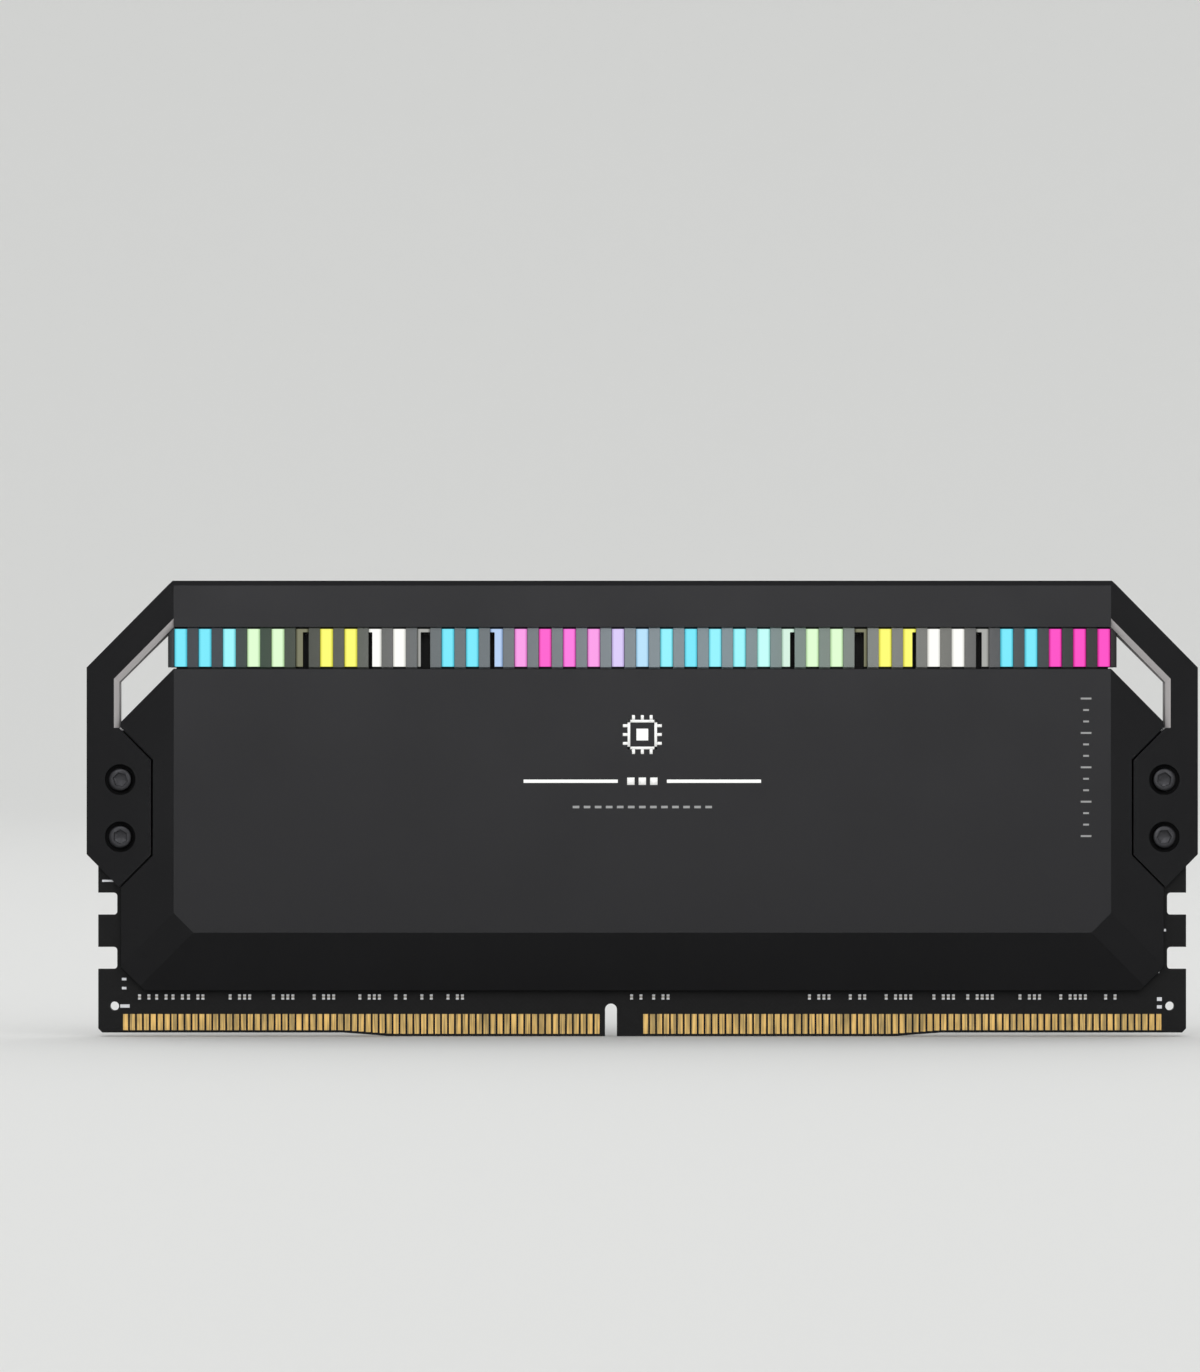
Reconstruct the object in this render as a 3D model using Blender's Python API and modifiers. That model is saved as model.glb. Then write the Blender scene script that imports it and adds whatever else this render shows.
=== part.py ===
"""Desktop memory module with an aluminium heat spreader and a light bar.

The module stands on its contact edge. X runs along the card, -Y is the front, +Z is up.
The origin is on the contact edge's lowest line, midway along the card and its thickness.
"""

import math

import bmesh
import bpy
from mathutils import Matrix, Vector

MM = 0.001
ROUND_STEPS = 16  # sides of a small turned piece or hole

# Circuit board: the standard long memory card
BOARD_LENGTH = 133.35 * MM
BOARD_THICKNESS = 1.27 * MM
EDGE_RISE = 0.45 * MM  # the ends of the contact edge stand this far above its middle
EDGE_RAMP_LENGTH = 6.0 * MM
EDGE_RAMP_INSET = 33.0 * MM  # card end to the middle of the ramp
EDGE_CORNER = 0.5 * MM
LATCH_NOTCH_DEPTH = 2.33 * MM
LATCH_NOTCH_HEIGHT = 2.7 * MM
LATCH_NOTCH_CENTRES = (9.6 * MM, 16.25 * MM)
LATCH_NOTCH_ROUNDING = 0.4 * MM
BOARD_TOP_DROP = 1.85 * MM  # from the light window's foot to the card's top edge
BOARD_SHOULDER_DROP = 1.2 * MM  # how far the sloping shoulders stay below the panel's corners
BOARD_END_PLAY = 0.25 * MM
INDEX_HOLE_RADIUS = 0.55 * MM
INDEX_HOLE_INSET = 2.0 * MM
INDEX_HOLE_HEIGHT = 3.7 * MM

# Contacts along the edge, and the key notch between their two banks
CONTACT_PITCH = 0.85 * MM
CONTACT_WIDTH = 0.60 * MM
CONTACT_TOP = 2.72 * MM
CONTACT_EDGE_GAP = 0.30 * MM
CONTACT_RAISE = 0.05 * MM
CONTACT_END_MARGIN = 3.35 * MM
KEY_GAP_CENTRE = -3 * CONTACT_PITCH
KEY_GAP_HALF = 3 * CONTACT_PITCH
KEY_NOTCH_CENTRE = KEY_GAP_CENTRE - 1.5 * CONTACT_PITCH
KEY_NOTCH_WIDTH = 1.45 * MM
KEY_NOTCH_HEIGHT = 4.0 * MM

# Small parts soldered above the contacts. In each group one stands ahead of a closer row.
# Each pair is the first one's X in millimetres and the row's count.
SMALL_PART_GROUPS = (
    (-61.6, 1), (-59.5, 1), (-57.5, 1), (-55.6, 2), (-50.5, 3), (-45.2, 3), (-40.2, 3),
    (-34.6, 3), (-30.2, 1), (-27.0, 1), (-23.8, 2), (-1.3, 1), (1.4, 2), (20.5, 3),
    (25.5, 2), (29.9, 4), (35.75, 3), (39.9, 4), (46.3, 3), (51.3, 4), (56.8, 1),
)
SMALL_PART_LEAD = 1.15 * MM  # from the part ahead to the row
SMALL_PART_PITCH = 0.62 * MM
SMALL_PART_SIZE = (0.30 * MM, 0.25 * MM, 0.60 * MM)  # along X, away from the board, along Z
SMALL_PART_RISE = 2.1 * MM  # from the contacts' tops to the parts' middle

# The stack from the board's face to the spreader's face
SOLDER_GAP = 0.25 * MM
CHIP_THICKNESS = 0.90 * MM
SEAT_GAP = 0.10 * MM
THERMAL_PAD_THICKNESS = 0.60 * MM
PLATE_THICKNESS = 1.40 * MM

# Spreader pocket: the walls left round it
POCKET_END_WALL = 1.25 * MM
POCKET_FOOT_WALL = 2.95 * MM
POCKET_TOP_WALL = 0.80 * MM

# Outer form
OVERALL_HEIGHT = 55.8 * MM
END_OVERHANG = 1.325 * MM  # the top bar reaches past each end of the card
END_FACET_LENGTH = 10.75 * MM
FACET_SLOPE = 0.17  # thickness lost for each unit towards an end or the foot
PANEL_FOOT = 12.8 * MM
PANEL_CORNER = 2.4 * MM
SPREADER_FOOT = 5.65 * MM
SPREADER_CORNER = 2.9 * MM
SEAM = 0.20 * MM  # visible joint between the spreader and the top bar
TOP_EDGE_BEVEL = 0.6 * MM

# Top bar: a rail over the light strip, an arm down each end and a bracket below each arm
RAIL_HEIGHT = 5.65 * MM
LIGHT_WINDOW_HEIGHT = 5.1 * MM
BAR_CORNER = 10.6 * MM
ARM_WIDTH = 4.0 * MM
BRACKET_WIDTH = 7.96 * MM
BRACKET_STRAIGHT = 11.55 * MM  # the straight part of the bracket's inner side
BRACKET_DROP = 11.2 * MM  # from the light window's foot to the top of that straight part
BRIGHT_EDGE_WIDTH = 0.62 * MM  # the window's bare sloping edge, as seen from the front

# Clamp screws
SCREW_SPACING = 7.0 * MM
SCREW_DROP = 2.37 * MM  # from the bracket's straight top to the upper screw
SCREW_INSET = 4.15 * MM
SCREW_HEAD_RADIUS = 1.45 * MM
SCREW_HEAD_HEIGHT = 0.95 * MM
SCREW_SHANK_RADIUS = 0.80 * MM
SOCKET_ACROSS_FLATS = 1.3 * MM
SOCKET_DEPTH = 0.55 * MM
COUNTERBORE_CLEARANCE = 0.42 * MM
COUNTERBORE_FLOOR = 1.65 * MM  # from the module's middle plane
COUNTERBORE_STEPS = 20
BARREL_RADIUS = 1.45 * MM
BARREL_CLEARANCE = 0.10 * MM
THREAD_CLEARANCE = 0.05 * MM
THREAD_ENGAGEMENT = 0.55 * MM

# Light strip: lit ribs of the light bar stand between the fins of the two strips
RIB_COUNT = 39
RIB_WIDTH = 1.50 * MM
RIB_CLEARANCE = 0.05 * MM
RIB_END_INSET = 0.84 * MM
RIB_RECESS = 0.40 * MM
FIN_RECESS = 0.20 * MM
STRIP_GAP = 0.15 * MM
STRIP_END_WALL = 0.70 * MM
STRIP_BACK = 2.35 * MM
STRIP_FLANGE_THICKNESS = 0.60 * MM
STRIP_FLANGE_REACH = 1.05 * MM
STRIP_END_PLAY = 0.15 * MM
LIGHT_BAR_SKIRT = 0.90 * MM  # the light bar reaches this far below the fins
RIB_END_GAP = 0.10 * MM
# Board tabs that locate the light bar: (gap between ribs, offset from the gap's middle)
LOCATING_TABS = ((6.5, -0.50), (8.5, 0.25), (11.5, -0.95), (13.5, 0.35))
TAB_SLOT_WIDTH = 1.8 * MM
TAB_SIDE_CLEARANCE = 0.20 * MM
TAB_SLOT_CEILING = 0.40 * MM  # rib left above the slot

# Components on the board
CHIPS_PER_SIDE = 4
CHIP_WIDTH = 9.0 * MM
CHIP_HEIGHT = 11.0 * MM
CHIP_CENTRE_HEIGHT = 17.6 * MM
CENTRE_ZONE = 10.5 * MM  # half the width kept for the power parts
PAD_OVERLAP = 0.4 * MM  # a thermal pad reaches this far past the chips above and below
POWER_RISE = 12.4 * MM  # from the chips' middle to the power parts
# Sizes are (along X, away from the board, along Z)
POWER_CONTROLLER = (5.0 * MM, 0.75 * MM, 5.0 * MM)
LIGHT_CONTROLLER = (3.0 * MM, 0.75 * MM, 3.0 * MM)
SERIAL_HUB = (2.0 * MM, 0.6 * MM, 3.0 * MM)
INDUCTOR = (2.5 * MM, 1.2 * MM, 2.0 * MM)
INDUCTOR_EDGE = 0.25 * MM
INDUCTOR_CENTRES = (-6.2 * MM, 6.2 * MM, 9.4 * MM)
LED_COUNT = 12
LED_SIZE = (3.2 * MM, 1.0 * MM, 1.2 * MM)
LED_WALL = 0.2 * MM

# Worked out from the sizes above
BOARD_HALF = BOARD_THICKNESS / 2
HALF_THICKNESS = (
    BOARD_HALF + SOLDER_GAP + CHIP_THICKNESS + THERMAL_PAD_THICKNESS + 2 * SEAT_GAP + PLATE_THICKNESS
)
PLATE_INSIDE = HALF_THICKNESS - PLATE_THICKNESS
HALF_LENGTH = BOARD_LENGTH / 2 + END_OVERHANG
PANEL_HALF = HALF_LENGTH - END_FACET_LENGTH
WINDOW_TOP = OVERALL_HEIGHT - RAIL_HEIGHT
WINDOW_FOOT = WINDOW_TOP - LIGHT_WINDOW_HEIGHT
ARM_INSIDE = HALF_LENGTH - ARM_WIDTH
BRACKET_INSIDE = HALF_LENGTH - BRACKET_WIDTH
BRACKET_STEP = ARM_INSIDE - BRACKET_INSIDE
BRACKET_TOP = WINDOW_FOOT - BRACKET_DROP
BRACKET_FOOT = BRACKET_TOP - BRACKET_STRAIGHT
BOARD_CLEARANCE = BOARD_HALF + SEAT_GAP
SCREW_X = HALF_LENGTH - SCREW_INSET
SCREW_HEIGHTS = (BRACKET_TOP - SCREW_DROP, BRACKET_TOP - SCREW_DROP - SCREW_SPACING)
COUNTERBORE_RADIUS = SCREW_HEAD_RADIUS + COUNTERBORE_CLEARANCE
BARREL_HALF = BOARD_HALF
RIB_PITCH = 2 * (PANEL_HALF - RIB_END_INSET) / (RIB_COUNT - 1)
RIB_FACE = HALF_THICKNESS - RIB_RECESS
FIN_FACE = HALF_THICKNESS - FIN_RECESS
STRIP_FOOT = WINDOW_FOOT + STRIP_GAP
STRIP_TOP = WINDOW_TOP - STRIP_GAP
FLANGE_FACE = STRIP_BACK + STRIP_FLANGE_THICKNESS
REBATE_FACE = FLANGE_FACE + SEAT_GAP
REBATE_HALF_LENGTH = PANEL_HALF - STRIP_END_PLAY
STRIP_HALF_LENGTH = PANEL_HALF + STRIP_END_WALL
LIGHT_BAR_HALF = STRIP_BACK - SEAT_GAP
LIGHT_BAR_FOOT = STRIP_FOOT - LIGHT_BAR_SKIRT
LIGHT_BAR_TOP = STRIP_TOP + STRIP_FLANGE_REACH
RIB_FOOT = STRIP_FOOT + RIB_END_GAP
RIB_TOP = STRIP_TOP - RIB_END_GAP
TAB_SLOT_TOP = RIB_TOP - TAB_SLOT_CEILING
BOARD_TOP = WINDOW_FOOT - BOARD_TOP_DROP
BOARD_SLANT = PANEL_HALF + WINDOW_FOOT - BOARD_SHOULDER_DROP  # X + Z along the card's shoulders
POCKET_HALF_LENGTH = BRACKET_INSIDE - SEAM - POCKET_END_WALL
POCKET_FOOT = SPREADER_FOOT + POCKET_FOOT_WALL
CHIP_PITCH = (POCKET_HALF_LENGTH - CENTRE_ZONE) / CHIPS_PER_SIDE
POWER_HEIGHT = CHIP_CENTRE_HEIGHT + POWER_RISE
FRONT, REAR = -1, 1


# ---------------------------------------------------------------- scene and materials


def clear_scene():
    for old in list(bpy.data.objects):
        bpy.data.objects.remove(old)
    for collection in list(bpy.data.collections):
        bpy.data.collections.remove(collection)


def new_collection(name):
    collection = bpy.data.collections.new(name)
    bpy.context.scene.collection.children.link(collection)
    return collection


def material(name, colour, roughness, metallic=0.0, emission=0.0):
    made = bpy.data.materials.new(name)
    made.use_nodes = True
    shader = made.node_tree.nodes["Principled BSDF"]
    shader.inputs["Base Color"].default_value = (*colour, 1)
    shader.inputs["Roughness"].default_value = roughness
    shader.inputs["Metallic"].default_value = metallic
    shader.inputs["Emission Color"].default_value = (*colour, 1)
    shader.inputs["Emission Strength"].default_value = emission
    made.diffuse_color = (*colour, 1)
    return made


clear_scene()
PARTS = new_collection("Memory module")
CUTTERS = new_collection("Cutters")
SATIN_BLACK = material("satin black anodised aluminium", (0.035, 0.035, 0.036), 0.42, 0.9)
BOARD_BLACK = material("black solder mask", (0.012, 0.013, 0.014), 0.5)
CHIP_BLACK = material("moulded chip package", (0.02, 0.02, 0.022), 0.6)
PAD_GREY = material("thermal pad", (0.45, 0.47, 0.50), 0.9)
DIFFUSER = material("milky light bar", (0.75, 0.9, 0.95), 0.35, 0.0, 0.6)
FIN_BLACK = material("gloss black fins", (0.03, 0.03, 0.033), 0.2)
STEEL_BLACK = material("black oxide steel", (0.09, 0.09, 0.09), 0.4, 1.0)
BRASS = material("brass barrel", (0.72, 0.53, 0.26), 0.35, 1.0)
FERRITE = material("ferrite inductor", (0.14, 0.14, 0.15), 0.55)
LED_WHITE = material("led package", (0.85, 0.85, 0.82), 0.5)


# ---------------------------------------------------------------- modelling helpers


def add_object(name, mesh, finish=None, collection=None):
    made = bpy.data.objects.new(name, mesh)
    (collection or PARTS).objects.link(made)
    if finish and not mesh.materials:
        mesh.materials.append(finish)
    return made


def as_cutter(obj):
    """Keeps an object as a helper: it cuts or joins others and isn't part of the module."""
    for collection in list(obj.users_collection):
        collection.objects.unlink(obj)
    CUTTERS.objects.link(obj)
    obj.hide_render = True
    obj.display_type = "WIRE"
    return obj


def evaluated_mesh(obj):
    graph = bpy.context.evaluated_depsgraph_get()
    graph.update()
    return bpy.data.meshes.new_from_object(obj.evaluated_get(graph))


def boxes(name, corner_pairs, finish=None, collection=None):
    """One object of separate boxes, each from its lowest to its highest corner."""
    shape = bmesh.new()
    for low, high in corner_pairs:
        low, high = Vector(low), Vector(high)
        size = high - low
        place = Matrix.Translation((low + high) / 2) @ Matrix.Diagonal((*size, 1))
        bmesh.ops.create_cube(shape, size=1, matrix=place)
    mesh = bpy.data.meshes.new(name)
    shape.to_mesh(mesh)
    shape.free()
    return add_object(name, mesh, finish, collection)


def box(name, low, high, finish=None):
    return boxes(name, [(low, high)], finish)


def facing_box(name, side, x_range, y_range, z_range, finish=None):
    """A box on the front or rear side, whose Y range is measured outwards from the middle plane."""
    ys = sorted(side * y for y in y_range)
    return box(name, (x_range[0], ys[0], z_range[0]), (x_range[1], ys[1], z_range[1]), finish)


def tidy(shape):
    """Closes seams and merges the triangles of flat areas into single faces."""
    bmesh.ops.remove_doubles(shape, verts=shape.verts, dist=0.001 * MM)
    bmesh.ops.dissolve_limit(shape, angle_limit=math.radians(0.5), verts=shape.verts, edges=shape.edges)
    bmesh.ops.recalc_face_normals(shape, faces=shape.faces)


def plate(name, outline, near, far, finish=None):
    """A flat outline in X and Z, as a closed solid between two Y values."""
    curve = bpy.data.curves.new(name + "_outline", "CURVE")
    curve.dimensions = "2D"
    curve.fill_mode = "BOTH"
    curve.extrude = abs(far - near) / 2
    spline = curve.splines.new("POLY")
    spline.points.add(len(outline) - 1)
    for point, (x, z) in zip(spline.points, outline):
        point.co = (x, z, 0, 1)
    spline.use_cyclic_u = True
    flat = add_object(name + "_outline", curve)
    flat.matrix_world = Matrix.Translation((0, (near + far) / 2, 0)) @ Matrix.Rotation(math.pi / 2, 4, "X")
    mesh = evaluated_mesh(flat)
    mesh.transform(flat.matrix_world)
    bpy.data.objects.remove(flat)
    shape = bmesh.new()
    shape.from_mesh(mesh)
    tidy(shape)
    shape.to_mesh(mesh)
    shape.free()
    return add_object(name, mesh, finish)


def turned(name, profile, steps, finish=None):
    """A turned shape. The profile's points are (distance along the axis, radius), and the axis is Y.

    A profile that starts away from the axis is closed into a ring.
    """
    mesh = bpy.data.meshes.new(name)
    shape = bmesh.new()
    points = [shape.verts.new((radius, 0, along)) for along, radius in profile]
    for first, second in zip(points, points[1:]):
        shape.edges.new((first, second))
    if profile[0][1] > 0:
        shape.edges.new((points[-1], points[0]))
    shape.to_mesh(mesh)
    shape.free()
    made = add_object(name, mesh, finish)
    turn = made.modifiers.new("Turn", "SCREW")
    turn.axis = "Z"
    turn.steps = turn.render_steps = steps
    turn.use_merge_vertices = True
    turn.merge_threshold = 0.00001
    turn.use_smooth_shade = False
    # Local +Z becomes world -Y, so a profile is written with its outer end at the top.
    made.matrix_world = Matrix.Rotation(math.pi / 2, 4, "X")
    return made


def boolean(target, other, operation):
    step = target.modifiers.new(operation.title() + " " + other.name, "BOOLEAN")
    step.operation = operation
    step.object = as_cutter(other)
    step.solver = "EXACT"
    step.use_self = True  # keeps outlines with steps at equal heights closed
    return target


def cut(target, *others):
    for other in others:
        boolean(target, other, "DIFFERENCE")
    return target


def join(target, *others):
    for other in others:
        boolean(target, other, "UNION")
    return target


def bevelled(obj, width):
    step = obj.modifiers.new("Edges", "BEVEL")
    step.width = width
    step.segments = 1
    step.limit_method = "ANGLE"
    return obj


def both_ends(right_half):
    """A closed outline from its right half, listed from the middle of the top to the middle of the foot."""
    return right_half + [(-x, z) for x, z in reversed(right_half)]


def rounded(corner, before, after, radius, steps=3):
    """Points of an arc that rounds a right-angled corner of an outline."""
    corner, before, after = Vector(corner), Vector(before), Vector(after)
    back = (before - corner).normalized() * radius
    ahead = (after - corner).normalized() * radius
    centre = corner + back + ahead
    turns = [math.pi / 2 * step / steps for step in range(steps + 1)]
    return [tuple(centre - ahead * math.cos(turn) - back * math.sin(turn)) for turn in turns]


# ---------------------------------------------------------------- outlines


def contact_edge_height(x):
    """Height of the contact edge, which ramps up towards both ends."""
    ramp_middle = BOARD_LENGTH / 2 - EDGE_RAMP_INSET
    along = (abs(x) - ramp_middle) / EDGE_RAMP_LENGTH + 0.5
    return EDGE_RISE * min(1.0, max(0.0, along))


def tab_centres():
    right = [((RIB_COUNT + 1) / 2 - gap) * RIB_PITCH - offset * MM for gap, offset in LOCATING_TABS]
    return sorted(right + [-x for x in right])


def board_half_outline():
    """The right half of the card, from the middle of its top to that of its foot, without the key notch."""
    half = BOARD_LENGTH / 2
    ramp_middle = half - EDGE_RAMP_INSET
    tab_half = TAB_SLOT_WIDTH / 2 - TAB_SIDE_CLEARANCE
    tab_top = TAB_SLOT_TOP - TAB_SIDE_CLEARANCE
    points = []
    for x in tab_centres():
        if x > 0:
            points += [(x - tab_half, BOARD_TOP), (x - tab_half, tab_top)]
            points += [(x + tab_half, tab_top), (x + tab_half, BOARD_TOP)]
    points += [(BOARD_SLANT - BOARD_TOP, BOARD_TOP), (half, BOARD_SLANT - half)]
    inner = half - LATCH_NOTCH_DEPTH
    for centre in sorted(LATCH_NOTCH_CENTRES, reverse=True):
        top, foot = centre + LATCH_NOTCH_HEIGHT / 2, centre - LATCH_NOTCH_HEIGHT / 2
        points.append((half, top))
        points += rounded((inner, top), (half, top), (inner, foot), LATCH_NOTCH_ROUNDING)
        points += rounded((inner, foot), (inner, top), (half, foot), LATCH_NOTCH_ROUNDING)
        points.append((half, foot))
    points += [(half, EDGE_RISE + EDGE_CORNER), (half - EDGE_CORNER, EDGE_RISE)]
    points += [(ramp_middle + EDGE_RAMP_LENGTH / 2, EDGE_RISE), (ramp_middle - EDGE_RAMP_LENGTH / 2, 0)]
    return points


def spreader_half_outline():
    """The right half of a spreader: it follows the top bar's bracket at a constant seam."""
    diagonal_seam = SEAM * math.sqrt(2)
    outside = ARM_INSIDE - SEAM
    notch = BRACKET_INSIDE - SEAM
    bracket_rise = BRACKET_TOP - BRACKET_INSIDE + diagonal_seam
    bracket_fall = BRACKET_FOOT + BRACKET_INSIDE - diagonal_seam
    return [
        (PANEL_HALF, WINDOW_FOOT),
        (outside, WINDOW_FOOT + PANEL_HALF - outside),
        (outside, outside + bracket_rise),
        (notch, notch + bracket_rise),
        (notch, bracket_fall - notch),
        (outside, bracket_fall - outside),
        (outside, SPREADER_FOOT + SPREADER_CORNER),
        (outside - SPREADER_CORNER, SPREADER_FOOT),
    ]


def top_bar_half_outline():
    """The right half of the top bar, from the top round the arm and back to the rail's underside."""
    return [
        (HALF_LENGTH - BAR_CORNER, OVERALL_HEIGHT),
        (HALF_LENGTH, OVERALL_HEIGHT - BAR_CORNER),
        (HALF_LENGTH, BRACKET_FOOT - BRACKET_STEP + ARM_WIDTH),
        (ARM_INSIDE, BRACKET_FOOT - BRACKET_STEP),
        (BRACKET_INSIDE, BRACKET_FOOT),
        (BRACKET_INSIDE, BRACKET_TOP),
        (ARM_INSIDE, BRACKET_TOP + BRACKET_STEP),
        (ARM_INSIDE, WINDOW_TOP + PANEL_HALF - ARM_INSIDE),
        (PANEL_HALF, WINDOW_TOP),
    ]


# ---------------------------------------------------------------- outer form


def slice_off(shape, point, normal):
    """Removes what lies beyond a plane from a convex shape, and closes the cut."""
    everything = shape.verts[:] + shape.edges[:] + shape.faces[:]
    bmesh.ops.bisect_plane(shape, geom=everything, plane_co=point, plane_no=normal, clear_outer=True)
    open_edges = [edge for edge in shape.edges if edge.is_boundary]
    bmesh.ops.holes_fill(shape, edges=open_edges, sides=0)


def outer_form():
    """The faceted form that the spreaders and the top bar share, so that their faces run on flush."""
    shape = bmesh.new()
    margin = 2 * MM
    size = (2 * (HALF_LENGTH + margin), 2 * HALF_THICKNESS, OVERALL_HEIGHT + margin)
    centre = Vector((0, 0, (OVERALL_HEIGHT - margin) / 2))
    bmesh.ops.create_cube(shape, size=1, matrix=Matrix.Translation(centre) @ Matrix.Diagonal((*size, 1)))
    for side in (FRONT, REAR):
        face = side * HALF_THICKNESS
        slice_off(shape, (0, face, PANEL_FOOT), (0, side, -FACET_SLOPE))
        slice_off(shape, (0, face, OVERALL_HEIGHT - TOP_EDGE_BEVEL), (0, side, 1))
        for end in (-1, 1):
            slice_off(shape, (end * PANEL_HALF, face, 0), (end * FACET_SLOPE, side, 0))
            corner = (end * PANEL_HALF, face, PANEL_FOOT + PANEL_CORNER)
            slice_off(shape, corner, (end * FACET_SLOPE / 2, side, -FACET_SLOPE / 2))
    bmesh.ops.recalc_face_normals(shape, faces=shape.faces)
    mesh = bpy.data.meshes.new("outer_form")
    shape.to_mesh(mesh)
    shape.free()
    return as_cutter(add_object("outer_form", mesh))


def inside_form(obj, form):
    step = obj.modifiers.new("Outer form", "BOOLEAN")
    step.operation = "INTERSECT"
    step.object = form
    step.solver = "EXACT"
    return obj


# ---------------------------------------------------------------- circuit board


def contact_positions():
    reach = BOARD_LENGTH / 2 - CONTACT_END_MARGIN
    count = round(2 * reach / CONTACT_PITCH) + 1
    places = [(number - (count - 1) / 2) * CONTACT_PITCH for number in range(count)]
    return [x for x in places if abs(x - KEY_GAP_CENTRE) > KEY_GAP_HALF]


def contacts():
    """Gold contacts, raised on both faces: each pair is one block that passes through the card."""
    reach = BOARD_HALF + CONTACT_RAISE
    blocks = []
    for x in contact_positions():
        foot = contact_edge_height(x) + CONTACT_EDGE_GAP
        low = (x - CONTACT_WIDTH / 2, -reach, foot)
        blocks.append((low, (x + CONTACT_WIDTH / 2, reach, CONTACT_TOP)))
    return boxes("contacts", blocks)


def small_part_centres():
    places = []
    for ahead, count in SMALL_PART_GROUPS:
        row = ahead * MM + SMALL_PART_LEAD
        places += [ahead * MM] + [row + number * SMALL_PART_PITCH for number in range(count)]
    return places


def small_parts():
    """Resistors and capacitors too small to be pieces of their own, so the card carries them."""
    width, thickness, height = SMALL_PART_SIZE
    centre = CONTACT_TOP + SMALL_PART_RISE
    blocks = []
    for x in small_part_centres():
        low = (x - width / 2, -BOARD_HALF - thickness, centre - height / 2)
        blocks.append((low, (x + width / 2, 0, centre + height / 2)))
    return boxes("small_parts", blocks)


def key_notch():
    """A slot cutter with a round top."""
    radius = KEY_NOTCH_WIDTH / 2
    centre_height = KEY_NOTCH_HEIGHT - radius
    turns = [math.pi * step / 10 for step in range(11)]
    arch = [(KEY_NOTCH_CENTRE + radius * math.cos(t), centre_height + radius * math.sin(t)) for t in turns]
    foot = -1 * MM
    outline = [(KEY_NOTCH_CENTRE + radius, foot), *arch, (KEY_NOTCH_CENTRE - radius, foot)]
    return plate("key_notch", outline, -BOARD_THICKNESS, BOARD_THICKNESS)


def round_hole(name, x, z, radius):
    reach = BOARD_THICKNESS
    hole = turned(name, [(reach, 0), (reach, radius), (-reach, radius), (-reach, 0)], ROUND_STEPS)
    hole.matrix_world = Matrix.Translation((x, 0, z)) @ hole.matrix_world
    return hole


def circuit_board():
    board = plate("circuit_board", both_ends(board_half_outline()), -BOARD_HALF, BOARD_HALF, BOARD_BLACK)
    cut(board, key_notch())
    for end in (-1, 1):
        x = end * (BOARD_LENGTH / 2 - INDEX_HOLE_INSET)
        cut(board, round_hole(f"index_hole_{end}", x, INDEX_HOLE_HEIGHT, INDEX_HOLE_RADIUS))
        for z in SCREW_HEIGHTS:
            radius = BARREL_RADIUS + BARREL_CLEARANCE
            cut(board, round_hole(f"barrel_hole_{end}_{z:.4f}", end * SCREW_X, z, radius))
    return join(board, contacts(), small_parts())


def soldered_box(name, x, z, size, finish, edge=0.0):
    """A component on the board's front."""
    width, thickness, height = size
    near = BOARD_HALF + SOLDER_GAP
    low_x, low_z = x - width / 2, z - height / 2
    ranges = ((low_x, low_x + width), (near, near + thickness), (low_z, low_z + height))
    made = facing_box(name, FRONT, *ranges, finish)
    return bevelled(made, edge) if edge else made


def components():
    chip = (CHIP_WIDTH, CHIP_THICKNESS, CHIP_HEIGHT)
    for number in range(CHIPS_PER_SIDE):
        x = CENTRE_ZONE + CHIP_PITCH * (number + 0.5)
        soldered_box(f"dram_chip_right_{number + 1}", x, CHIP_CENTRE_HEIGHT, chip, CHIP_BLACK)
        soldered_box(f"dram_chip_left_{number + 1}", -x, CHIP_CENTRE_HEIGHT, chip, CHIP_BLACK)
    soldered_box("power_controller", 0, POWER_HEIGHT, POWER_CONTROLLER, CHIP_BLACK)
    soldered_box("serial_hub", 0, CHIP_CENTRE_HEIGHT, SERIAL_HUB, CHIP_BLACK)
    soldered_box("light_controller", POCKET_HALF_LENGTH / 2, POWER_HEIGHT, LIGHT_CONTROLLER, CHIP_BLACK)
    for number, x in enumerate(INDUCTOR_CENTRES, 1):
        soldered_box(f"inductor_{number}", x, POWER_HEIGHT, INDUCTOR, FERRITE, INDUCTOR_EDGE)


def lights():
    """Side-firing LEDs below the light bar, each with its emitter cup in the top."""
    width, thickness, height = LED_SIZE
    near = BOARD_HALF + SEAT_GAP
    foot = BOARD_TOP - height - SEAT_GAP
    pitch = 2 * PANEL_HALF / LED_COUNT
    for number in range(LED_COUNT):
        x = (number + 0.5) * pitch - PANEL_HALF
        span = (x - width / 2, x + width / 2)
        package = facing_box(
            f"led_{number + 1}", FRONT, span, (near, near + thickness), (foot, foot + height), LED_WHITE
        )
        cup_span = (span[0] + 2 * LED_WALL, span[1] - 2 * LED_WALL)
        cup_depth = (near + LED_WALL, near + thickness - LED_WALL)
        cup_height = (foot + height / 2, foot + 2 * height)
        cut(package, facing_box(f"led_cup_{number + 1}", FRONT, cup_span, cup_depth, cup_height))


# ---------------------------------------------------------------- spreaders and pads


def spreader(name, side, form):
    """A tray-shaped plate: solid along its rim, and hollow over the components."""
    outline = both_ends(spreader_half_outline())
    rim = BOARD_HALF + 3 * SEAT_GAP
    body = plate(name, outline, side * rim, side * (HALF_THICKNESS + MM), SATIN_BLACK)
    inside_form(body, form)
    pocket = facing_box(
        name + "_pocket",
        side,
        (-POCKET_HALF_LENGTH, POCKET_HALF_LENGTH),
        (0, PLATE_INSIDE),
        (POCKET_FOOT, WINDOW_FOOT - POCKET_TOP_WALL),
    )
    rebate = facing_box(
        name + "_rebate",
        side,
        (-REBATE_HALF_LENGTH, REBATE_HALF_LENGTH),
        (0, REBATE_FACE),
        (STRIP_FOOT - STRIP_FLANGE_REACH - SEAT_GAP, WINDOW_FOOT + MM),
    )
    return cut(body, pocket, rebate)


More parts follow.
